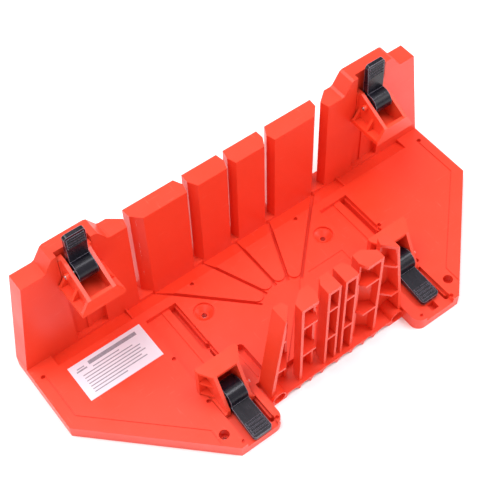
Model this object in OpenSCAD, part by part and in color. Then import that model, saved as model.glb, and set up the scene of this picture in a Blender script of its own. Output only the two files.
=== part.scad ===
// Clamping miter box: deck, slotted rear and front fences, four sliding cam clamps.
// Millimetres, +Z up, origin at the centre of the footprint on the bench plane.

/* [Deck] */
// overall length of the deck
deck_length = 350; // [340:1:365]
// front edge of the feet to the rear of the fence
deck_depth = 148; // [146:1:152]
// top of the deck above the bench
deck_top = 11; // [10.5:0.5:12]
// thickness of the deck plate
plate_t = 3.5; // [3:0.5:4]
// thickness of skirts and ribs
skirt_t = 3; // [2.5:0.5:3.5]
// forty-five degree corner taken off each side
corner_cut = 80; // [74:1:84]
// width of the front edge of each foot
foot_width = 38; // [36:1:40]

/* [Rear fence] */
// thickness of the rear fence
fence_t = 14; // [13:0.5:15]
// height of the saw guide panels above the deck
panel_height = 85; // [75:1:90]
// height of the low end plateaus above the deck
low_height = 86; // [80:1:90]
// height of the high end plateaus above the deck
high_height = 97.5; // [92:0.5:100]
// inward lean of the outer end faces
end_lean = 13; // [8:1:14]

/* [Front fence] */
// height of the front posts above the deck
post_height = 81; // [70:1:86]
// thickness of the front posts
post_t = 13.5; // [13:0.5:14]
// clear width between the two fences
throat = 102.5; // [102:0.5:103]

/* [Saw guides] */
// distance of the crossing point of the cuts from the rear fence
cross_back = 72.5; // [70:0.5:75]
// width of the groove in the deck
groove_w = 2.6; // [2:0.2:3]
// depth of the grooves in the deck
groove_d = 4; // [3.6:0.2:4.4]
// depth of the sunk fan where the cuts cross
fan_d = 1.6; // [1:0.2:2]
// half width of the narrow waist between fence panels
waist = 1.5; // [1.2:0.1:1.8]

/* [Clamps] */
// distance of the front clamps from the middle
front_clamp_x = 77.5; // [76:0.5:79]
// distance of the rear clamps from the middle
rear_clamp_x = 121.7; // [119:0.1:124]
// jaw of the left front clamp, distance from the rear fence
jaw_front_left = 82.7; // [76:0.1:86]
// jaw of the right front clamp, distance from the rear fence
jaw_front_right = 72.7; // [66:0.1:76]
// jaw of the left rear clamp above the deck
jaw_rear_left = 66.1; // [50:0.1:68]
// jaw of the right rear clamp above the deck
jaw_rear_right = 55.3; // [50:0.1:68]
// half width of the jaw plate
jaw_half = 16.2; // [15:0.1:16.4]
// height of the jaw
jaw_height = 28.8; // [27:0.1:30]
// channel depth
channel_d = 4; // [3.5:0.1:4.2]
// channel half width
channel_half = 12.5; // [12.5:0.1:13]

/* [Levers] */
// half width of a lever
lever_half = 6.9; // [6.5:0.1:7]
// radius of the cam barrel
barrel_r = 8; // [7.5:0.1:8.2]
// radius of the pivot pin
pin_r = 1.4; // [1.2:0.1:1.6]
// running clearance of the pivot
pin_fit = 0.05; // [0.02:0.01:0.1]
// how far the left rear lever stands open, in degrees
open_left = 9; // [0:1:9]
// how far the right rear lever stands open, in degrees
open_right = 4; // [0:1:9]

/* [Parts] */

/* [Hidden] */
$fn = 96;
eps = 0.02;
half_l = deck_length / 2;
rear_y = deck_depth / 2;
foot_y = -deck_depth / 2;
fence_y = rear_y - fence_t;
post_back = fence_y - throat;
post_front = post_back - post_t;
cross_y = fence_y - cross_back;
foot_out = half_l - corner_cut;
foot_in = foot_out - foot_width;
cut_y = foot_y + corner_cut;
plate_z = deck_top - plate_t;
channel_z = deck_top - channel_d;
channel_floor = 2;
channel_back = fence_y - 17;
foot_r = 7;
foot_shift = 3;
base_top = 5.2;
strip_out = 2.3;
orange = [0.93, 0.20, 0.11];
black = [0.06, 0.06, 0.07];
steel = [0.7, 0.7, 0.72];
white = [0.92, 0.92, 0.93];

// plan of the deck, one half, down to the inner side of its foot
module half_plan(in, inner) {
    y0 = post_back + (in > 0 ? in : 0);
    polygon([[0, rear_y - in], [half_l - in, rear_y - in], [half_l - in, cut_y + in * 0.414],
        [foot_out - in * 0.414, foot_y + in], [inner + foot_r, foot_y + in],
        [inner + in, foot_y + foot_r], [inner + in, y0], [0, y0]]);
    translate([inner + foot_r, foot_y + foot_r])
        circle(foot_r - in);
}

module plan(in) {
    half_plan(in, foot_in);
    mirror([1, 0])
        half_plan(in, foot_in + foot_shift);
}

// strip from the crossing point outwards at one of the cutting angles
module ray(angle, width, from, to) {
    translate([0, cross_y])
        rotate(-angle)
            translate([-width / 2, from])
                square([width, to - from]);
}

finger_half = 11.25;
finger_apex = groove_w / 2 / sin(finger_half);
finger_tip = 25.5;
finger_r = (finger_tip - finger_apex) / (1 / sin(finger_half) - 1);
finger_c = finger_apex + finger_r / sin(finger_half);
finger_side = finger_r / tan(finger_half);

function turned(a, x, y) = [x * cos(a) + y * sin(a), cross_y - x * sin(a) + y * cos(a)];
function finger_pts(a) = [
    turned(a, -finger_side * sin(finger_half), finger_apex + finger_side * cos(finger_half)),
    turned(a, finger_side * sin(finger_half), finger_apex + finger_side * cos(finger_half))];

// sunk fan where the five cuts meet, with rounded wedge tips left standing in it
module fan() {
    throat_x = (cross_y - post_back) + groove_w;
    difference() {
        polygon(concat(finger_pts(-33.75), finger_pts(-11.25), finger_pts(11.25), finger_pts(33.75),
            [[groove_w, cross_y], [throat_x, post_back + eps], [-throat_x, post_back + eps],
            [-groove_w, cross_y]]));
        for (a = [-33.75, -11.25, 11.25, 33.75])
            translate(turned(a, 0, finger_c))
                circle(finger_r);
    }
}

// the five grooves at one width, cut or backing depending on where they are drawn
module grooves(width, from, low, high) {
    for (a = [-45, -22.5, 0, 22.5, 45])
        translate([0, 0, low])
            linear_extrude(high - low)
                ray(a, width, from, (cross_back - eps) / cos(a));
}

hole_front = [98.2, -59.2];
hole_back = [53.5, 24.8];
hole_r = 2.1;
cup_front_r = 3.6;
cup_back_r = 7.5;
cup_front_d = 8;
cup_back_d = 1.8;
cone_d = 5;
cone_r = 6.6;
cone_low_r = 3.1;
peg_holes = [[91.5, 6.6], [91.8, -33.6], [63.6, -70.4], [90.8, -70.6], [169, 49], [46.8, 48.6]];
peg_r = 1.6;
peg_d = 3;
line_w = 1;
line_d = 0.6;

module bench_holes(r) {
    for (s = [-1, 1])
        for (p = [hole_front, hole_back])
            translate([s * p[0], p[1]])
                circle(r);
}

// shallow outline groove inside the edge of the deck
module edge_line() {
    intersection() {
        difference() {
            edge_shape(0);
            edge_shape(line_w);
        }
        translate([0, foot_y + 10])
            square([half_l, fence_y - foot_y - 20]);
    }
}

module edge_shape(in) {
    polygon([[0, fence_y + 9], [half_l - 7.2 - in, fence_y + 9], [half_l - 7.2 - in, cut_y + 5.5],
        [foot_out + 9 - in, foot_y + 8 + 14.5], [foot_out + 9 - in, foot_y], [0, foot_y]]);
}

relief_mid = 95;
relief_end = 156;
relief_w = 9.9;
relief_gap = 0.7;
relief_d = 3;
relief_front_d = 1;

// chip relief along the foot of the rear fence, sloping down towards it
module relief_strip(from, to) {
    translate([from, 0, 0])
        rotate([90, 0, 90])
            linear_extrude(to - from)
                polygon([[fence_y - relief_w, deck_top + eps],
                    [fence_y - relief_w, deck_top - relief_front_d],
                    [fence_y, deck_top - relief_d], [fence_y, deck_top + eps]]);
}

module relief() {
    relief_strip(-relief_mid, relief_mid);
    relief_strip(relief_mid + relief_gap, relief_end);
    relief_strip(-relief_end, -relief_mid - relief_gap);
}

step_x = [24.6, 55.7];
step_y = 53.7;
step_d = 0.6;
tray_x = [-54.6, -48.1];
tray_y = [-99, -71];
tray_floor = 4;
tray_wall = 1.8;
lip_w = 0.9;
lip_h = 0.6;
lip_gap = 3;

// step in the deck in front of the right posts
module step_cut() {
    translate([step_x[0], post_back - eps, deck_top - step_d])
        cube([step_x[1] - step_x[0], throat - step_y, step_d + eps]);
}

// deep narrow tray beside the left clamp channel, grown by a wall for its casing
module tray(grow, low) {
    r = (tray_x[1] - tray_x[0]) / 2 + grow;
    y0 = fence_y + tray_y[0] - grow;
    y1 = fence_y + tray_y[1] + grow - r;
    translate([tray_x[0] - grow, y0, low])
        cube([2 * r, y1 - y0, deck_top - low]);
    translate([(tray_x[0] + tray_x[1]) / 2, y1, low])
        cylinder(r = r, h = deck_top - low);
}

// slim lip along the outer side of the tray
module tray_lip() {
    translate([tray_x[0] - lip_w, fence_y + tray_y[0], deck_top - eps])
        cube([lip_w, tray_y[1] - tray_y[0] - lip_gap, lip_h]);
}

slot_w = 4.4;
slot_in = 6.9;
slot_floor = 1.2;
keel_t = 1.5;
slot_len = 40;
narrow_w = 1.8;
narrow_end = 128;
rail_in = 1;
ridge_w = 3;
ridge_h = 1;
ridge_len = 52;
notch_r = 2.4;
notch_end_r = 1.6;
window = 6.4;
window_x = -4;
window_y = 130.5;

// sliding channel of a front clamp, cut from above, with its deep slots
module channel_cut(side) {
    cx = side * front_clamp_x;
    edge = cx + slot_in + slot_w;
    translate([cx - channel_half, foot_y - eps, channel_z])
        cube([2 * channel_half, channel_back - foot_y + eps, channel_d + eps]);
    translate([0, 0, slot_floor]) {
        translate([edge - slot_w, channel_back - slot_len, 0])
            cube([slot_w, slot_len, deck_top]);
        translate([edge - narrow_w, fence_y - narrow_end, 0])
            cube([narrow_w, channel_back - fence_y + narrow_end, deck_top]);
        translate([edge - narrow_w / 2, channel_back - slot_len, 0])
            cylinder(r = notch_r, h = deck_top);
        translate([edge, fence_y - narrow_end, 0])
            cylinder(r = notch_end_r, h = deck_top);
        translate([cx + window_x, fence_y - window_y, 0])
            cube([window, window, deck_top]);
    }
}

// keel that closes the slots and the square pocket of a channel from below
module keel(side) {
    cx = side * front_clamp_x;
    edge = cx + slot_in + slot_w;
    y0 = fence_y - narrow_end - notch_end_r - keel_t;
    translate([edge - slot_w - keel_t, y0, 0])
        cube([slot_w + 2 * keel_t + notch_end_r, channel_back + keel_t - y0, plate_z + eps]);
    translate([cx + window_x - keel_t, fence_y - window_y - keel_t, 0])
        cube([window + 2 * keel_t, window + 2 * keel_t, channel_z]);
}

// raised rail between the sunk side of a channel and its slot
module rail(side) {
    translate([side * front_clamp_x + rail_in, channel_back - ridge_len, channel_z - eps])
        cube([slot_in - rail_in, ridge_len - eps, ridge_h]);
}

module channel_floor(side) {
    cx = side * front_clamp_x;
    difference() {
        translate([cx - channel_half - 2, foot_y + 0.5, channel_z - channel_floor])
            cube([2 * channel_half + 4, channel_back - foot_y + 1, plate_t]);
        channel_cut(side);
    }
    keel(side);
    rail(side);
}

rib_x = [-150, -110, -45, -22, 0, 22, 45, 110, 150];
rib_y = [-20, 18];
rib_h = 7;

module rib_field() {
    for (x = rib_x)
        translate([x - 1, foot_y, 1])
            cube([2, deck_depth, rib_h]);
    for (y = rib_y)
        translate([-half_l, y - 1, 1])
            cube([deck_length, 2, rib_h]);
}

boss_r = 9;
backing = 2;
// tips of the teeth under the front strip
teeth = [-46.3, -34.5, -25, -15.2, -2.1, 10.6, 21.1, 30.3, 45.5];
tooth_half = 0.5;
scallop_h = 4.4;
socket_x = 51.8;
socket_r = 5.5;
socket_wall = 0.9;
socket_d = 2.5;

// round socket under an end post, lying along Y
module socket(side, r, from, to) {
    translate([side * socket_x, from, socket_r])
        rotate([-90, 0, 0])
            cylinder(r = r, h = to - from);
}

// round cut between two neighbouring teeth
module scallop(a, b) {
    half = (b - a) / 2 - tooth_half;
    r = (half * half + scallop_h * scallop_h) / (2 * scallop_h);
    translate([(a + b) / 2, post_front - strip_out - 1, scallop_h - r])
        rotate([-90, 0, 0])
            cylinder(r = r, h = post_t + strip_out - backing);
}

// strip under the front posts, standing on its teeth
module base_strip() {
    difference() {
        union() {
            translate([-foot_in - foot_shift, post_front - strip_out, 0])
                cube([2 * foot_in + foot_shift, post_t + strip_out + 1, base_top]);
            for (s = [-1, 1])
                socket(s, socket_r, post_front - strip_out, post_back + 1);
        }
        for (k = [0 : len(teeth) - 2])
            scallop(teeth[k], teeth[k + 1]);
        for (s = [-1, 1])
            socket(s, socket_r - socket_wall, post_front - strip_out - 1,
                post_front - strip_out + socket_d);
    }
}

module deck() {
    color(orange)
        difference() {
            union() {
                translate([0, 0, plate_z])
                    linear_extrude(plate_t)
                        plan(0);
                linear_extrude(deck_top)
                    difference() {
                        plan(0);
                        plan(skirt_t);
                    }
                translate([-half_l, fence_y, 0])
                    cube([deck_length, fence_t, deck_top]);
                intersection() {
                    rib_field();
                    linear_extrude(deck_top)
                        plan(1);
                }
                linear_extrude(deck_top)
                    intersection() {
                        bench_holes(boss_r);
                        plan(0);
                    }
                channel_floor(-1);
                channel_floor(1);
                grooves(groove_w + 2 * backing, 0, deck_top - groove_d - backing, plate_z + eps);
                tray(tray_wall, tray_floor - backing);
                tray_lip();
                translate([1 - half_l, fence_y - relief_w - 1, plate_z - backing])
                    cube([deck_length - 2, relief_w + 1 + eps, backing + eps]);
                base_strip();
            }
            channel_cuts();
            translate([0, 0, deck_top - fan_d])
                linear_extrude(fan_d + eps)
                    fan();
            grooves(groove_w, finger_tip - 1, deck_top - groove_d, deck_top + eps);
            relief();
            step_cut();
            translate([0, 0, eps])
                tray(0, tray_floor);
            translate([0, 0, deck_top - line_d])
                linear_extrude(line_d + eps)
                    for (s = [0, 1])
                        mirror([s, 0])
                            edge_line();
            translate([0, 0, -eps])
                linear_extrude(deck_top + 2 * eps)
                    bench_holes(hole_r);
            for (s = [-1, 1]) {
                translate([s * hole_front[0], hole_front[1], deck_top - cup_front_d])
                    cylinder(r = cup_front_r, h = cup_front_d + eps);
                translate([s * hole_back[0], hole_back[1], deck_top - cup_back_d])
                    cylinder(r = cup_back_r, h = cup_back_d + eps);
                translate([s * hole_back[0], hole_back[1], deck_top - cone_d])
                    cylinder(r1 = cone_low_r, r2 = cone_r, h = cone_d - cup_back_d + eps);
                for (p = peg_holes)
                    translate([s * p[0], p[1], deck_top - peg_d])
                        cylinder(r = peg_r, h = peg_d + eps);
            }
        }
}

module channel_cuts() {
    for (s = [-1, 1]) {
        difference() {
            channel_cut(s);
            rail(s);
        }
    }
}

// plan edges of the rear fence gaps: x at the working face, at the waist and at the back
mid_y = fence_y + fence_t / 2;
mid_reach = cross_back + fence_t / 2;
gap_0 = [3.8, waist, 2.8];
gap_22_in = [27.5, mid_reach * tan(22.5) - waist / cos(22.5), 31.1];
gap_22_out = [36.5, mid_reach * tan(22.5) + waist / cos(22.5), 38];
gap_45_in = [70.8, mid_reach - waist / cos(45), 78];
gap_45_out = [83.4, mid_reach + waist / cos(45), 90.5];

wall_t = 2.8;
back_wall = 4;
shelf_t = 2;
shelf_z = [25.7, 59.4];

// one guide panel between two gaps, open-backed with two shelves
module panel(a, b) {
    top = deck_top + panel_height;
    difference() {
        translate([0, 0, deck_top])
            linear_extrude(panel_height)
                polygon([[a[0], fence_y], [a[1], mid_y], [a[2], rear_y],
                    [b[2], rear_y], [b[1], mid_y], [b[0], fence_y]]);
        pocket(a, b, deck_top + 3, deck_top + shelf_z[0] - shelf_t);
        pocket(a, b, deck_top + shelf_z[0], deck_top + shelf_z[1] - shelf_t);
        pocket(a, b, deck_top + shelf_z[1], top - 4);
    }
}

module pocket(a, b, low, high) {
    translate([0, 0, low])
        linear_extrude(high - low)
            polygon([[a[1] + wall_t, fence_y + back_wall], [max(a[1], a[2]) + wall_t, rear_y + eps],
                [min(b[1], b[2]) - wall_t, rear_y + eps], [b[1] - wall_t, fence_y + back_wall]]);
}

// end section of the rear fence with its stepped top and clamp channel, right hand
end_top = half_l - end_lean;
step_left = 137;
step_right = 140.5;
module end_section(out) {
    top_low = deck_top + low_height;
    top_high = deck_top + high_height;
    lean = end_lean / low_height;
    difference() {
        translate([0, rear_y, 0])
            rotate([90, 0, 0])
                linear_extrude(fence_t)
                    polygon([[75, deck_top], [half_l, deck_top], [end_top, top_low], [out + 9, top_low],
                        [out + 7, top_low + 1], [out + 1, top_high - 1], [out - 1, top_high], [106, top_high],
                        [104, top_high - 1], [98, top_low + 1], [96, top_low], [75, top_low]]);
        translate([0, 0, deck_top - 1])
            linear_extrude(high_height + 2)
                polygon([[60, fence_y - 1], [gap_45_out[0], fence_y - 1], [gap_45_out[0], fence_y],
                    [gap_45_out[1], mid_y], [gap_45_out[2], rear_y], [gap_45_out[2], rear_y + 1],
                    [60, rear_y + 1]]);
        translate([rear_clamp_x - channel_half, fence_y - 1, deck_top - 1])
            cube([2 * channel_half, channel_d + 1, high_height + 2]);
        end_pocket(3, shelf_z[0] - shelf_t, lean);
        end_pocket(shelf_z[0], shelf_z[1] - shelf_t, lean);
        end_pocket(shelf_z[1], low_height - 4, lean);
    }
    translate([rear_clamp_x - ridge_w / 2, fence_y + channel_d - ridge_h, deck_top])
        cube([ridge_w, ridge_h + eps, 70]);
}

module end_pocket(low, high, lean) {
    depth = fence_t - channel_d - 3;
    translate([0, rear_y + eps, deck_top])
        rotate([90, 0, 0])
            linear_extrude(depth) {
                polygon([[94, low], [111, low], [111, high], [94, high]]);
                polygon([[114, low], [129, low], [129, high], [114, high]]);
                polygon([[132, low], [half_l - 4 - lean * low, low], [half_l - 4 - lean * high, high],
                    [132, high]]);
            }
}

// plan of the front posts, right hand, measured from the back of the posts
post_plans = [
    [[2.1, 0], [9, 0], [12, -5], [12.3, -post_t], [1.8, -post_t]],
    [[17.9, 0], [25, 0], [33.2, -6.6], [33.2, -post_t], [20.1, -post_t], [17.2, -7.5]],
    [[39, 0], [46, 0], [46, -post_t], [45.3, -post_t], [37.4, -4.8]]];
// plan of the pocket in each straight post, the wide one opening on its inner side
post_pockets = [
    [[3.6, -3], [8.3, -3], [10.3, -6], [10.4, -20], [3.5, -20]],
    [[19.8, -2.8], [24.3, -2.8], [31.1, -7.4], [31.1, -20], [14, -20], [14, -8.6], [19.3, -8]]];
post_wall = 2.2;
post_back_wall = 3;
inner_wall = [39.4, 4.8];
post_levels = [[base_top - 1, 23.7 + deck_top], [25.7 + deck_top, 57.4 + deck_top],
    [59.4 + deck_top, post_height + deck_top - 3]];

// straight post, k = 0 narrow, k = 1 wide
module post(k) {
    difference() {
        translate([0, post_back, base_top])
            linear_extrude(deck_top + post_height - base_top)
                polygon(post_plans[k]);
        for (v = post_levels)
            translate([0, post_back, v[0]])
                linear_extrude(v[1] - v[0])
                    polygon(post_pockets[k]);
    }
}

// upright pocket of an end post between two depths, following its leaning outer wall
module end_post_pocket(x0, from, to, v) {
    translate([0, post_back - from, 0])
        rotate([90, 0, 0])
            linear_extrude(to - from)
                polygon([[x0, v[0]], [outer_x(v[0]) - post_wall, v[0]],
                    [outer_x(v[1]) - post_wall, v[1]], [x0, v[1]]]);
}

// end post whose outer face runs down to the deck
module end_post() {
    h = deck_top + post_height;
    p = post_plans[2];
    difference() {
        intersection() {
            translate([0, post_back, base_top])
                linear_extrude(h - base_top)
                    polygon([p[0], [foot_in, 0], [foot_in, -post_t], p[3], p[4]]);
            translate([0, post_back + eps, 0])
                rotate([90, 0, 0])
                    linear_extrude(post_t + 2 * eps)
                        polygon([[30, 0], [foot_in, 0], [foot_in, deck_top], [p[1][0], h], [30, h]]);
        }
        for (v = post_levels) {
            end_post_pocket(30, inner_wall[1], post_t + 1, v);
            end_post_pocket(inner_wall[0], post_back_wall, inner_wall[1] + eps, v);
        }
        socket(1, socket_r + eps, post_front - 1, post_back + 1);
    }
}

function outer_x(z) = foot_in - (foot_in - post_plans[2][1][0]) * max(z - deck_top, 0) / post_height;

label_w = 58;
label_d = 30;
label_t = 0.25;
label_x = -153;
label_y = 14;

// clamp carrier: x across, y away from the work, z off the mounting face
carrier_half = 10.3;
carrier_in = 7.8;
plate_u = 3.5;
cap_u = 12.6;
tail_u = 26.3;
lift = 0.35;
pivot_u = 18.5;
pivot_n = 8;
pin_half = 13.4;
pin_boss_r = 2.1;
pin_skin = 0.8;
runner_n = channel_d - 0.4;
runner_gap = 0.35;
fin_t = 2.1;
fin_n = [lift + 0.9, 14.6, jaw_height - fin_t];
fin_low_u = 3;

module carrier() {
    difference() {
        union() {
            translate([-jaw_half, 0, lift])
                cube([2 * jaw_half, plate_u, jaw_height - lift]);
            for (s = [0, 1])
                mirror([s, 0, 0]) {
                    translate([carrier_in, 0, 0])
                        rotate([90, 0, 90])
                            linear_extrude(carrier_half - carrier_in)
                                polygon([[0, lift], [tail_u, lift], [tail_u, 2.5], [cap_u, jaw_height],
                                    [0, jaw_height]]);
                    translate([carrier_in, 0, -runner_n])
                        cube([channel_half - runner_gap - carrier_in, tail_u, runner_n + lift + eps]);
                    for (n = fin_n)
                        translate([0, 0, n])
                            linear_extrude(fin_t)
                                polygon([[carrier_half - eps, 0], [jaw_half, 0], [jaw_half, fin_low_u],
                                    [carrier_half - eps, cap_u]]);
                }
            translate([-carrier_in - eps, 0, jaw_height - 2.6])
                cube([2 * carrier_in + 2 * eps, cap_u, 2.6]);
            across_from(pivot_u, pivot_n, pin_boss_r, 0.5 - pin_half, eps - carrier_half);
        }
        across_from(pivot_u, pivot_n, pin_r + pin_fit, -jaw_half, carrier_half - pin_skin);
    }
}

// lever: cam barrel with a flat ridged arm
crease = [25.2, 4.7];
tip_u = 51.6;
tip_half = 7.6;
tip_n = 1.4;
arm_u = 9.5;
arm_n = 2.7;
tip_t = 3;
tip_r = 2.5;
ridge_pitch = 2.6;
ridge_r = 0.8;
crease_r = 0.75;
// nose of the cam, kept inside its sweep over the channel floor
nose = [[14.5, 14.3], [8.3, 10.6], [7.95, 8], [8.3, 5.4], [12, 1], [18.5, -0.6]];
// top of the arm under ridge k, counted from the tip
function ridge_n(k) = tip_n + (3 + k * ridge_pitch) * (arm_n - tip_n) / arm_u;

module lever() {
    difference() {
        intersection() {
            union() {
                across(pivot_u, pivot_n - 0.6, barrel_r, lever_half);
                translate([-lever_half, 0, 0])
                    rotate([90, 0, 90])
                        linear_extrude(2 * lever_half)
                            polygon(nose);
                across(crease[0], crease[1], crease_r, lever_half - 0.3);
                translate([-tip_half, 0, 0])
                    rotate([90, 0, 90])
                        linear_extrude(2 * tip_half)
                            polygon([[pivot_u, pivot_n], [pivot_u + 5.2, pivot_n + 4], crease,
                                [tip_u - arm_u, arm_n], [tip_u, tip_n], [tip_u, tip_n - tip_t],
                                [crease[0] + 2, -0.6], [pivot_u + 2, pivot_n - barrel_r - 0.3]]);
                for (k = [0 : 3])
                    across(tip_u - 3 - k * ridge_pitch, ridge_n(k), ridge_r,
                        lever_half - 0.6);
            }
            lever_outline();
        }
        across(pivot_u, pivot_n, pin_r + pin_fit, jaw_half);
    }
}

// lever turned open about its pivot
module opened(angle) {
    translate([0, pivot_u, pivot_n])
        rotate([angle, 0, 0])
            translate([0, -pivot_u, -pivot_n])
                lever();
}

// cylinder lying across the clamp between two distances from its middle
module across_from(u, n, r, from, to) {
    translate([from, u, n])
        rotate([0, 90, 0])
            cylinder(r = r, h = to - from);
}

// cylinder lying across the whole clamp
module across(u, n, r, half) {
    translate([-half, u, n])
        rotate([0, 90, 0])
            cylinder(r = r, h = 2 * half);
}

// upright block whose plan is the outline of a lever, widening to its rounded tip
module lever_outline() {
    low = -20;
    high = 40;
    translate([0, 0, low])
        linear_extrude(high - low)
            polygon([[-lever_half, 0], [lever_half, 0], [lever_half, crease[0]],
                [tip_half, tip_u - tip_r], [tip_half - tip_r, tip_u], [tip_r - tip_half, tip_u],
                [-tip_half, tip_u - tip_r], [-lever_half, crease[0]]]);
    for (s = [-1, 1])
        translate([s * (tip_half - tip_r), tip_u - tip_r, low])
            cylinder(r = tip_r, h = high - low);
}

module pivot_pin() {
    across_from(pivot_u, pivot_n, pin_r, -pin_half, carrier_half - pin_skin - 0.1);
}

module at_front(side, jaw) {
    translate([side * front_clamp_x, fence_y - jaw, deck_top])
        rotate([0, 0, 180])
            children();
}

module at_rear(side, jaw) {
    translate([side * rear_clamp_x, fence_y, deck_top + jaw])
        rotate([90, 0, 0])
            children();
}

module rear_end_left() {
    color(orange)
        mirror([1, 0, 0])
            end_section(step_left);
}

module rear_end_right() {
    color(orange)
        end_section(step_right);
}

module rear_panel_1() {
    color(orange)
        mirror([1, 0, 0])
            panel(gap_22_out, gap_45_in);
}

module rear_panel_2() {
    color(orange)
        mirror([1, 0, 0])
            panel(gap_0, gap_22_in);
}

module rear_panel_3() {
    color(orange)
        panel(gap_0, gap_22_in);
}

module rear_panel_4() {
    color(orange)
        panel(gap_22_out, gap_45_in);
}

module front_post_1() {
    color(orange)
        mirror([1, 0, 0])
            end_post();
}

module front_post_2() {
    color(orange)
        mirror([1, 0, 0])
            post(1);
}

module front_post_3() {
    color(orange)
        mirror([1, 0, 0])
            post(0);
}

module front_post_4() {
    color(orange)
        post(0);
}

module front_post_5() {
    color(orange)
        post(1);
}

module front_post_6() {
    color(orange)
        end_post();
}

module label() {
    color(white)
        translate([label_x, label_y, deck_top])
            cube([label_w, label_d, label_t]);
}

module clamp_front_left() {
    color(orange)
        at_front(-1, jaw_front_left)
            carrier();
}

module clamp_front_right() {
    color(orange)
        at_front(1, jaw_front_right)
            carrier();
}

module clamp_rear_left() {
    color(orange)
        at_rear(-1, jaw_rear_left)
            carrier();
}

module clamp_rear_right() {
    color(orange)
        at_rear(1, jaw_rear_right)
            carrier();
}

module lever_front_left() {
    color(black)
        at_front(-1, jaw_front_left)
            lever();
}

module lever_front_right() {
    color(black)
        at_front(1, jaw_front_right)
            lever();
}

module lever_rear_left() {
    color(black)
        at_rear(-1, jaw_rear_left)
            opened(open_left);
}

module lever_rear_right() {
    color(black)
        at_rear(1, jaw_rear_right)
            opened(open_right);
}

module pin_front_left() {
    color(steel)
        at_front(-1, jaw_front_left)
            pivot_pin();
}

module pin_front_right() {
    color(steel)
        at_front(1, jaw_front_right)
            pivot_pin();
}

module pin_rear_left() {
    color(steel)
        at_rear(-1, jaw_rear_left)
            pivot_pin();
}

module pin_rear_right() {
    color(steel)
        at_rear(1, jaw_rear_right)
            pivot_pin();
}

deck();
rear_end_left();
rear_panel_1();
rear_panel_2();
rear_panel_3();
rear_panel_4();
rear_end_right();
front_post_1();
front_post_2();
front_post_3();
front_post_4();
front_post_5();
front_post_6();
label();
clamp_front_left();
clamp_front_right();
clamp_rear_left();
clamp_rear_right();
lever_front_left();
lever_front_right();
lever_rear_left();
lever_rear_right();
pin_front_left();
pin_front_right();
pin_rear_left();
pin_rear_right();
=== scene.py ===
import bpy, bmesh, math
from mathutils import Vector, Matrix


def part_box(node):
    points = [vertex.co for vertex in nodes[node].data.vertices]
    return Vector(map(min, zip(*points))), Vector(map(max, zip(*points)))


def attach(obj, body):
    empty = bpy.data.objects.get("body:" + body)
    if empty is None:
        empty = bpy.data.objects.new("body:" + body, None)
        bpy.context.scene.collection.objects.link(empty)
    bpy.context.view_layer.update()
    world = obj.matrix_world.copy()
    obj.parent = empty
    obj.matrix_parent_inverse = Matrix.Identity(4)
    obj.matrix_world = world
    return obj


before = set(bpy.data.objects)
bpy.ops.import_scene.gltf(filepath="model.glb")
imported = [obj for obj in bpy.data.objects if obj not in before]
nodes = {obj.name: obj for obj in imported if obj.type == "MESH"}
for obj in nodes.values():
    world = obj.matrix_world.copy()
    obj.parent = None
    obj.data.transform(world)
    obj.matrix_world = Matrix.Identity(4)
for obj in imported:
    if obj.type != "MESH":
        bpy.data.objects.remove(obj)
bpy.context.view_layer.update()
MM = 0.001


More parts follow.
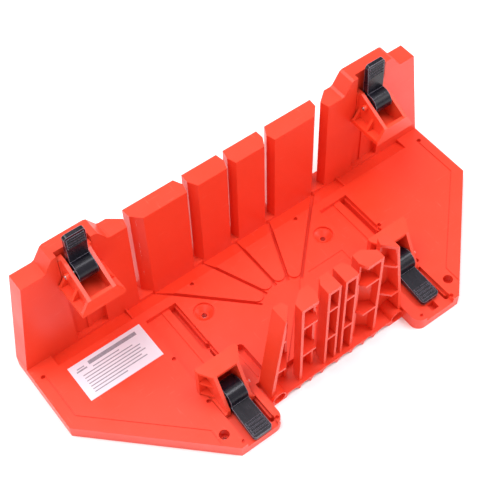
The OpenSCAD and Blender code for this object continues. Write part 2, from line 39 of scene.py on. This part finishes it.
# ---------------------------------------------------------------- materials
class Tree:
    """Small helper that builds a shader node tree."""

    def __init__(self, name):
        self.mat = bpy.data.materials.new(name)
        self.mat.use_nodes = True
        self.nt = self.mat.node_tree
        self.nt.nodes.clear()
        self.out = self.nt.nodes.new("ShaderNodeOutputMaterial")
        self.bsdf = self.nt.nodes.new("ShaderNodeBsdfPrincipled")
        self.link(self.bsdf.outputs[0], self.out.inputs[0])
        self.coord = self.nt.nodes.new("ShaderNodeTexCoord").outputs["Object"]

    def link(self, a, b):
        self.nt.links.new(a, b)

    def set(self, **kw):
        for k, v in kw.items():
            self.bsdf.inputs[k.replace("_", " ")].default_value = v

    def mapped(self, stretch=(1, 1, 1), turn=(0, 0, 0)):
        """Object coordinates, stretched and turned."""
        m = self.nt.nodes.new("ShaderNodeMapping")
        m.inputs["Scale"].default_value = stretch
        m.inputs["Rotation"].default_value = turn
        self.link(self.coord, m.inputs["Vector"])
        return m.outputs[0]

    def noise(self, scale, detail=4.0, rough=0.55, coords=None):
        n = self.nt.nodes.new("ShaderNodeTexNoise")
        n.inputs["Scale"].default_value = scale
        n.inputs["Detail"].default_value = detail
        n.inputs["Roughness"].default_value = rough
        self.link(coords or self.coord, n.inputs["Vector"])
        return n.outputs["Fac"]

    def ramp(self, fac, stops):
        r = self.nt.nodes.new("ShaderNodeValToRGB")
        el = r.color_ramp.elements
        while len(el) < len(stops):
            el.new(0.5)
        for e, (p, c) in zip(el, stops):
            e.position = p
            e.color = (c, c, c, 1) if isinstance(c, (int, float)) else (*c[:3], 1)
        self.link(fac, r.inputs[0])
        return r.outputs[0]

    def mix(self, a, b, fac):
        m = self.nt.nodes.new("ShaderNodeMix")
        m.data_type = "RGBA"
        for sock, v in ((m.inputs[0], fac), (m.inputs[6], a), (m.inputs[7], b)):
            if isinstance(v, (int, float, tuple)):
                sock.default_value = v
            else:
                self.link(v, sock)
        return m.outputs[2]

    def math(self, op, a, b=0.0):
        m = self.nt.nodes.new("ShaderNodeMath")
        m.operation = op
        for sock, v in zip(m.inputs, (a, b)):
            if isinstance(v, (int, float)):
                sock.default_value = v
            else:
                self.link(v, sock)
        return m.outputs[0]

    def bump(self, height, strength, distance, normal=None):
        b = self.nt.nodes.new("ShaderNodeBump")
        b.inputs["Strength"].default_value = strength
        b.inputs["Distance"].default_value = distance
        self.link(height, b.inputs["Height"])
        if normal:
            self.link(normal, b.inputs["Normal"])
        return b.outputs[0]

    def edges(self, radius, lo, hi):
        """1 on edges and creases of the shape, 0 on its open faces."""
        soft = self.nt.nodes.new("ShaderNodeBevel")
        soft.samples = 6
        soft.inputs["Radius"].default_value = radius
        true = self.nt.nodes.new("ShaderNodeNewGeometry")
        dot = self.nt.nodes.new("ShaderNodeVectorMath")
        dot.operation = "DOT_PRODUCT"
        self.link(soft.outputs[0], dot.inputs[0])
        self.link(true.outputs["Normal"], dot.inputs[1])
        return self.ramp(self.math("SUBTRACT", 1.0, dot.outputs["Value"]), [(lo, 0.0), (hi, 1.0)])

    def to(self, socket, value):
        """Drives one input of the surface shader."""
        self.link(value, self.bsdf.inputs[socket])


def scaled(c, k):
    return tuple(min(1.0, v * k) for v in c)


def orange_plastic(name, base, rough):
    """Glossy moulded plastic: faint flow clouds, fine grain and hairline scuffs."""
    t = Tree(name)
    t.set(IOR=1.5, Specular_IOR_Level=0.5)
    cloud = t.noise(9, 3)
    tint = t.ramp(cloud, [(0.3, scaled(base, 0.95)), (0.7, base)])
    across = t.noise(70, 3, 0.6, t.mapped((1, 14, 6), (0.2, 0.1, 0.6)))
    along = t.noise(60, 3, 0.6, t.mapped((12, 1, 5), (0.1, 0.3, -0.5)))
    marks = t.math("MAXIMUM", t.ramp(across, [(0.66, 0.0), (0.71, 1.0)]),
                   t.ramp(along, [(0.67, 0.0), (0.72, 1.0)]))
    pale = t.mix(tint, (0.95, 0.30, 0.22, 1), t.math("MULTIPLY", marks, 0.10))
    t.to("Base Color", pale)
    fine = t.noise(2600, 2)
    broad = t.noise(45, 3)
    gloss = t.ramp(broad, [(0.3, rough - 0.05), (0.7, rough + 0.07)])
    t.to("Roughness", t.mix(gloss, (0.6, 0.6, 0.6, 1), t.math("MULTIPLY", marks, 0.35)))
    n = t.bump(fine, 0.10, 0.0001)
    n = t.bump(broad, 0.06, 0.0008, n)
    t.to("Normal", t.bump(marks, 0.04, 0.0001, n))
    return t.mat


def lever_plastic():
    """Black nylon with a soft sheen, faint drag lines along its length, paler worn patches, and a
    painted highlight along its edges, ridges and crease.
    """
    t = Tree("lever_plastic")
    t.set(IOR=1.46, Specular_IOR_Level=0.4)
    drag = t.noise(90, 3, 0.6, t.mapped((4, 1, 1)))
    worn = t.noise(160, 4)
    col = t.ramp(worn, [(0.35, (0.005, 0.004, 0.008)), (0.75, (0.011, 0.009, 0.015))])
    # painted highlight: a pale lilac colour mixed into the base colour along the edges, ridges and the
    # crease, where light would catch them
    painted_edge_highlight = t.math("MULTIPLY", t.edges(0.0004, 0.01, 0.08), 0.8)
    t.to("Base Color", t.mix(col, (0.38, 0.34, 0.42, 1), painted_edge_highlight))
    t.to("Roughness", t.ramp(drag, [(0.3, 0.22), (0.7, 0.29)]))
    t.to("Normal", t.bump(t.noise(3000, 2), 0.10, 0.0001, t.bump(drag, 0.03, 0.0001)))
    return t.mat


def steel():
    """Plain ground steel pin."""
    t = Tree("pin_steel")
    t.set(Metallic=1.0)
    line = t.noise(300, 3, 0.6, t.mapped((1, 9, 9)))
    t.to("Base Color", t.ramp(line, [(0.3, (0.42, 0.42, 0.44)), (0.7, (0.62, 0.62, 0.64))]))
    t.to("Roughness", t.ramp(line, [(0.3, 0.28), (0.7, 0.42)]))
    t.to("Normal", t.bump(line, 0.1, 0.0001))
    return t.mat


def vinyl():
    """Printed sticker backing."""
    t = Tree("label_vinyl")
    cloud = t.noise(40, 3)
    t.to("Base Color", t.ramp(cloud, [(0.3, (0.66, 0.62, 0.69)), (0.7, (0.74, 0.70, 0.76))]))
    t.to("Roughness", t.ramp(t.noise(120, 3), [(0.3, 0.36), (0.7, 0.5)]))
    t.to("Normal", t.bump(t.noise(900, 2), 0.05, 0.0001))
    return t.mat


def ink():
    """Plain grey print, slightly uneven."""
    t = Tree("label_ink")
    fleck = t.noise(900, 2, 0.5, t.mapped((1, 0.4, 1)))
    t.to("Base Color", t.ramp(fleck, [(0.35, (0.24, 0.23, 0.27)), (0.65, (0.30, 0.29, 0.33))]))
    t.to("Roughness", t.ramp(fleck, [(0.3, 0.4), (0.7, 0.55)]))
    return t.mat


M_BODY = orange_plastic("body_plastic", (0.83, 0.047, 0.017), 0.36)
M_CLAMP = orange_plastic("clamp_plastic", (0.86, 0.056, 0.020), 0.33)
M_LEVER = lever_plastic()
M_PIN = steel()
M_LABEL = vinyl()
M_INK = ink()


FLAT_ANGLE = math.radians(0.6)
EDGE_ANGLE = math.radians(28)
EDGE_SEGMENTS = 2


def clean(o, width):
    """Merges the flat faces of a part and rounds its edges."""
    d = o.modifiers.new("flat", "DECIMATE")
    d.decimate_type = "DISSOLVE"
    d.angle_limit = FLAT_ANGLE
    b = o.modifiers.new("round", "BEVEL")
    b.width = width
    b.segments = EDGE_SEGMENTS
    b.limit_method = "ANGLE"
    b.angle_limit = EDGE_ANGLE
    b.harden_normals = True
    b.use_clamp_overlap = True
    b.miter_outer = "MITER_ARC"


# node name start, material, edge rounding in millimetres
LOOKS = [("clamp", M_CLAMP, 0.4), ("lever", M_LEVER, 0.3), ("pin", M_PIN, 0.15),
         ("label", M_LABEL, 0.0), ("deck", M_BODY, 0.3), ("rear", M_BODY, 0.6), ("front", M_BODY, 0.5)]
for name, o in nodes.items():
    for start, mat, width in LOOKS:
        if name.startswith(start):
            o.data.materials.clear()
            o.data.materials.append(mat)
            if width:
                clean(o, width * MM)


# ---------------------------------------------------------------- label print
INK_DEPTH = 0.02 * MM


def bars(name, rows, top, mat):
    """One flat mesh of thin printed bars: rows of (x0, x1, y0, y1) in metres."""
    bm = bmesh.new()
    for x0, x1, y0, y1 in rows:
        r = bmesh.ops.create_cube(bm, size=1.0)
        for v in r["verts"]:
            v.co.x = x0 if v.co.x < 0 else x1
            v.co.y = y0 if v.co.y < 0 else y1
            v.co.z = top - INK_DEPTH if v.co.z < 0 else top
    me = bpy.data.meshes.new(name)
    bm.to_mesh(me)
    bm.free()
    me.materials.append(mat)
    o = bpy.data.objects.new(name, me)
    bpy.context.scene.collection.objects.link(o)
    return o


# the bars are given as shares of the label: from, to across it, then from, to up it
HEADING = (0.24, 0.90, 0.80, 0.90)
SIDE_MARKS = ((0.06, 0.20, 0.76, 0.80), (0.08, 0.18, 0.83, 0.86))
LINE_ENDS = (0.62, 0.78, 0.86, 0.84, 0.88, 0.80, 0.85, 0.55)
LINE_START = 0.10
FIRST_LINE_START = 0.26
LINE_TOP = 0.70
LINE_PITCH = 0.082
LINE_HEIGHT = 0.028
INK_RISE = 0.015 * MM

lo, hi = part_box("label")
lx, ly = lo[0], lo[1]
lw, lh = hi[0] - lo[0], hi[1] - lo[1]


def on_label(x0, x1, y0, y1):
    """Shares of the label to metres."""
    return (lx + x0 * lw, lx + x1 * lw, ly + y0 * lh, ly + y1 * lh)


rows = [on_label(*HEADING)]
for k, end in enumerate(LINE_ENDS):
    start = FIRST_LINE_START if k == 0 else LINE_START
    y = LINE_TOP - LINE_PITCH * k
    rows.append(on_label(start, end, y, y + LINE_HEIGHT))
rows.extend(on_label(*mark) for mark in SIDE_MARKS)
ink_top = hi[2] + INK_RISE
printed = bars("label_print", rows, ink_top, M_INK)
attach(printed, "body")

# ---------------------------------------------------------------- stage
bpy.ops.mesh.primitive_plane_add(size=6, location=(0, 0, 0))
floor = bpy.context.active_object
floor.name = "floor"
t = Tree("floor_white")
t.set(Base_Color=(0.95, 0.95, 0.95, 1), Roughness=0.85)
floor.data.materials.append(t.mat)


def area(name, loc, target, size, power, color=(1, 1, 1)):
    d = bpy.data.lights.new(name, "AREA")
    d.shape = "RECTANGLE"
    d.size, d.size_y = size
    d.energy = power
    d.color = color
    o = bpy.data.objects.new(name, d)
    bpy.context.scene.collection.objects.link(o)
    o.location = loc
    o.rotation_euler = (Vector(target) - Vector(loc)).to_track_quat("-Z", "Y").to_euler()


MIDDLE = (0, 0, 0.05)
area("key", (-0.5, 0.3, 1.6), (0, 0, 0), (1.0, 1.0), 20)
area("fill", (-1.4, -1.0, 0.9), MIDDLE, (0.9, 0.9), 3)
area("side", (1.2, -0.9, 0.9), MIDDLE, (0.9, 0.9), 7)
area("sheen", (0.48, -0.32, 1.40), MIDDLE, (0.6, 0.45), 9, (0.94, 0.93, 1.0))

WORLD_LIGHT = 0.6
world = bpy.data.worlds.new("world")
bpy.context.scene.world = world
world.use_nodes = True
world.node_tree.nodes["Background"].inputs[0].default_value = (1, 1, 1, 1)
world.node_tree.nodes["Background"].inputs[1].default_value = WORLD_LIGHT

# ---------------------------------------------------------------- camera
eye = Vector((-0.27246, -0.33293, 0.67356))
aim = Vector((-0.00061, 0.04112, 0.02073))
roll = math.radians(-1.606)
LENS_MM = 81.162
SENSOR_MM = 36
fwd = (aim - eye).normalized()
right = fwd.cross(Vector((0, 0, 1))).normalized()
up = right.cross(fwd)
r2 = right * math.cos(roll) + up * math.sin(roll)
u2 = up * math.cos(roll) - right * math.sin(roll)
cam = bpy.data.cameras.new("camera")
cam.lens = LENS_MM
cam.sensor_width = SENSOR_MM
cam_o = bpy.data.objects.new("camera", cam)
bpy.context.scene.collection.objects.link(cam_o)
cam_o.matrix_world = Matrix((
    (r2.x, u2.x, -fwd.x, eye.x),
    (r2.y, u2.y, -fwd.y, eye.y),
    (r2.z, u2.z, -fwd.z, eye.z),
    (0, 0, 0, 1)))
bpy.context.scene.camera = cam_o
bpy.context.scene.view_settings.view_transform = "Standard"
